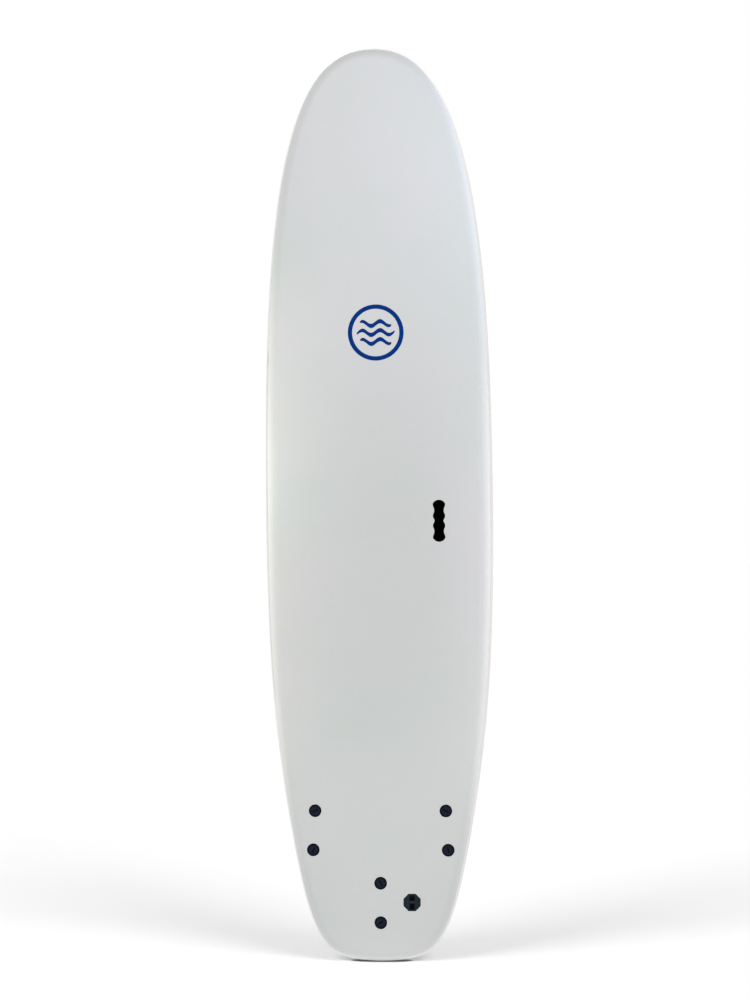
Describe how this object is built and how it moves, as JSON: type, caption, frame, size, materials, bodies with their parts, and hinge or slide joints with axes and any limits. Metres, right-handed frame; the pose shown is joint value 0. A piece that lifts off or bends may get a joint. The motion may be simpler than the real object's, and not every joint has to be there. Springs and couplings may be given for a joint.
{
  "type": "surfboard",
  "caption": "Soft-top longboard with foam deck, white rails, slick bottom, bolt-on thruster fins, leash plug and recessed carrying grip.",
  "frame": {"origin": "on the floor under the middle of the whole board's box, standing on its tail", "axes": "+Z from tail to nose, -Y out of the deck, +Y out of the bottom where the fins are, +X to the right of someone facing the deck"},
  "size_m": [0.6152, 0.2423, 2.438],
  "materials": {
    "deck_foam": "soft closed-cell foam sheet, fine pebble texture",
    "rail_foam": "soft closed-cell foam strip, smooth",
    "slick": "smooth polyethylene sheet",
    "core_foam": "expanded bead foam",
    "timber": "plywood",
    "fitting_plastic": "moulded nylon, satin",
    "screw_plastic": "moulded nylon, satin",
    "washer_rubber": "soft rubber",
    "brass": "turned and knurled",
    "fin_plastic": "flexible moulded plastic",
    "grip_plastic": "moulded plastic, satin",
    "steel": "stainless"
  },
  "bodies": {
    "board": {"bottom_slick": "slick", "core_left_inner": "core_foam", "core_left_outer": "core_foam", "core_right_inner": "core_foam", "core_right_outer": "core_foam", "cup_centre_front": "fitting_plastic", "cup_centre_rear": "fitting_plastic", "cup_left_front": "fitting_plastic", "cup_left_rear": "fitting_plastic", "cup_right_front": "fitting_plastic", "cup_right_rear": "fitting_plastic", "deck_skin": "deck_foam", "grip_insert": "grip_plastic", "leash_anchor": "fitting_plastic", "leash_bar": "steel", "leash_plug": "fitting_plastic", "leash_screw": "steel", "rail_left": "rail_foam", "rail_right": "rail_foam", "stringer_centre": "timber", "stringer_left": "timber", "stringer_right": "timber"},
    "fin_left": {"fin_left": "fin_plastic", "insert_left_front": "brass", "insert_left_rear": "brass"},
    "fin_right": {"fin_right": "fin_plastic", "insert_right_front": "brass", "insert_right_rear": "brass"},
    "fin_centre": {"fin_centre": "fin_plastic", "insert_centre_front": "brass", "insert_centre_rear": "brass"},
    "washer_left_front": {"washer_left_front": "washer_rubber"},
    "screw_left_front": {"screw_left_front": "screw_plastic"},
    "washer_left_rear": {"washer_left_rear": "washer_rubber"},
    "screw_left_rear": {"screw_left_rear": "screw_plastic"},
    "washer_right_front": {"washer_right_front": "washer_rubber"},
    "screw_right_front": {"screw_right_front": "screw_plastic"},
    "washer_right_rear": {"washer_right_rear": "washer_rubber"},
    "screw_right_rear": {"screw_right_rear": "screw_plastic"},
    "washer_centre_front": {"washer_centre_front": "washer_rubber"},
    "screw_centre_front": {"screw_centre_front": "screw_plastic"},
    "washer_centre_rear": {"washer_centre_rear": "washer_rubber"},
    "screw_centre_rear": {"screw_centre_rear": "screw_plastic"}
  },
  "joints": [
    {"name": "fin_left_pull", "type": "slide", "parent": "board", "child": "fin_left", "axis": [0, 0.9968, -0.0793], "range_m": [0, 0.036]},
    {"name": "fin_right_pull", "type": "slide", "parent": "board", "child": "fin_right", "axis": [0, 0.9968, -0.0793], "range_m": [0, 0.036]},
    {"name": "fin_centre_pull", "type": "slide", "parent": "board", "child": "fin_centre", "axis": [0, 0.9942, -0.1078], "range_m": [0, 0.036]},
    {"name": "washer_left_front_lift", "type": "slide", "parent": "board", "child": "washer_left_front", "axis": [0, -0.9968, 0.0793], "range_m": [0, 0.0125]},
    {"name": "screw_left_front_turn", "type": "hinge", "parent": "washer_left_front", "child": "screw_left_front", "pos_m": [-0.17577, -0.03028, 0.39987], "axis": [0, -0.9968, 0.0793], "range_deg": [0, 3601]},
    {"name": "washer_left_rear_lift", "type": "slide", "parent": "board", "child": "washer_left_rear", "axis": [0, -0.9968, 0.0793], "range_m": [0, 0.0125]},
    {"name": "screw_left_rear_turn", "type": "hinge", "parent": "washer_left_rear", "child": "screw_left_rear", "pos_m": [-0.18123, -0.03585, 0.29573], "axis": [0, -0.9968, 0.0793], "range_deg": [0, 3601]},
    {"name": "washer_right_front_lift", "type": "slide", "parent": "board", "child": "washer_right_front", "axis": [0, -0.9968, 0.0793], "range_m": [0, 0.0125]},
    {"name": "screw_right_front_turn", "type": "hinge", "parent": "washer_right_front", "child": "screw_right_front", "pos_m": [0.17577, -0.03028, 0.39987], "axis": [0, -0.9968, 0.0793], "range_deg": [0, 3601]},
    {"name": "washer_right_rear_lift", "type": "slide", "parent": "board", "child": "washer_right_rear", "axis": [0, -0.9968, 0.0793], "range_m": [0, 0.0125]},
    {"name": "screw_right_rear_turn", "type": "hinge", "parent": "washer_right_rear", "child": "screw_right_rear", "pos_m": [0.18123, -0.03585, 0.29573], "axis": [0, -0.9968, 0.0793], "range_deg": [0, 3601]},
    {"name": "washer_centre_front_lift", "type": "slide", "parent": "board", "child": "washer_centre_front", "axis": [0, -0.9942, 0.1078], "range_m": [0, 0.0125]},
    {"name": "screw_centre_front_turn", "type": "hinge", "parent": "washer_centre_front", "child": "screw_centre_front", "pos_m": [0, -0.04443, 0.20795], "axis": [0, -0.9942, 0.1078], "range_deg": [0, 3601]},
    {"name": "washer_centre_rear_lift", "type": "slide", "parent": "board", "child": "washer_centre_rear", "axis": [0, -0.9942, 0.1078], "range_m": [0, 0.0125]},
    {"name": "screw_centre_rear_turn", "type": "hinge", "parent": "washer_centre_rear", "child": "screw_centre_rear", "pos_m": [0, -0.05224, 0.10379], "axis": [0, -0.9942, 0.1078], "range_deg": [0, 3601]}
  ],
  "couplings": [
    {"joint": "screw_left_front_turn", "follows": "washer_left_front_lift", "rad_per_m": 5026.5},
    {"joint": "screw_left_rear_turn", "follows": "washer_left_rear_lift", "rad_per_m": 5026.5},
    {"joint": "screw_right_front_turn", "follows": "washer_right_front_lift", "rad_per_m": 5026.5},
    {"joint": "screw_right_rear_turn", "follows": "washer_right_rear_lift", "rad_per_m": 5026.5},
    {"joint": "screw_centre_front_turn", "follows": "washer_centre_front_lift", "rad_per_m": 5026.5},
    {"joint": "screw_centre_rear_turn", "follows": "washer_centre_rear_lift", "rad_per_m": 5026.5}
  ]
}
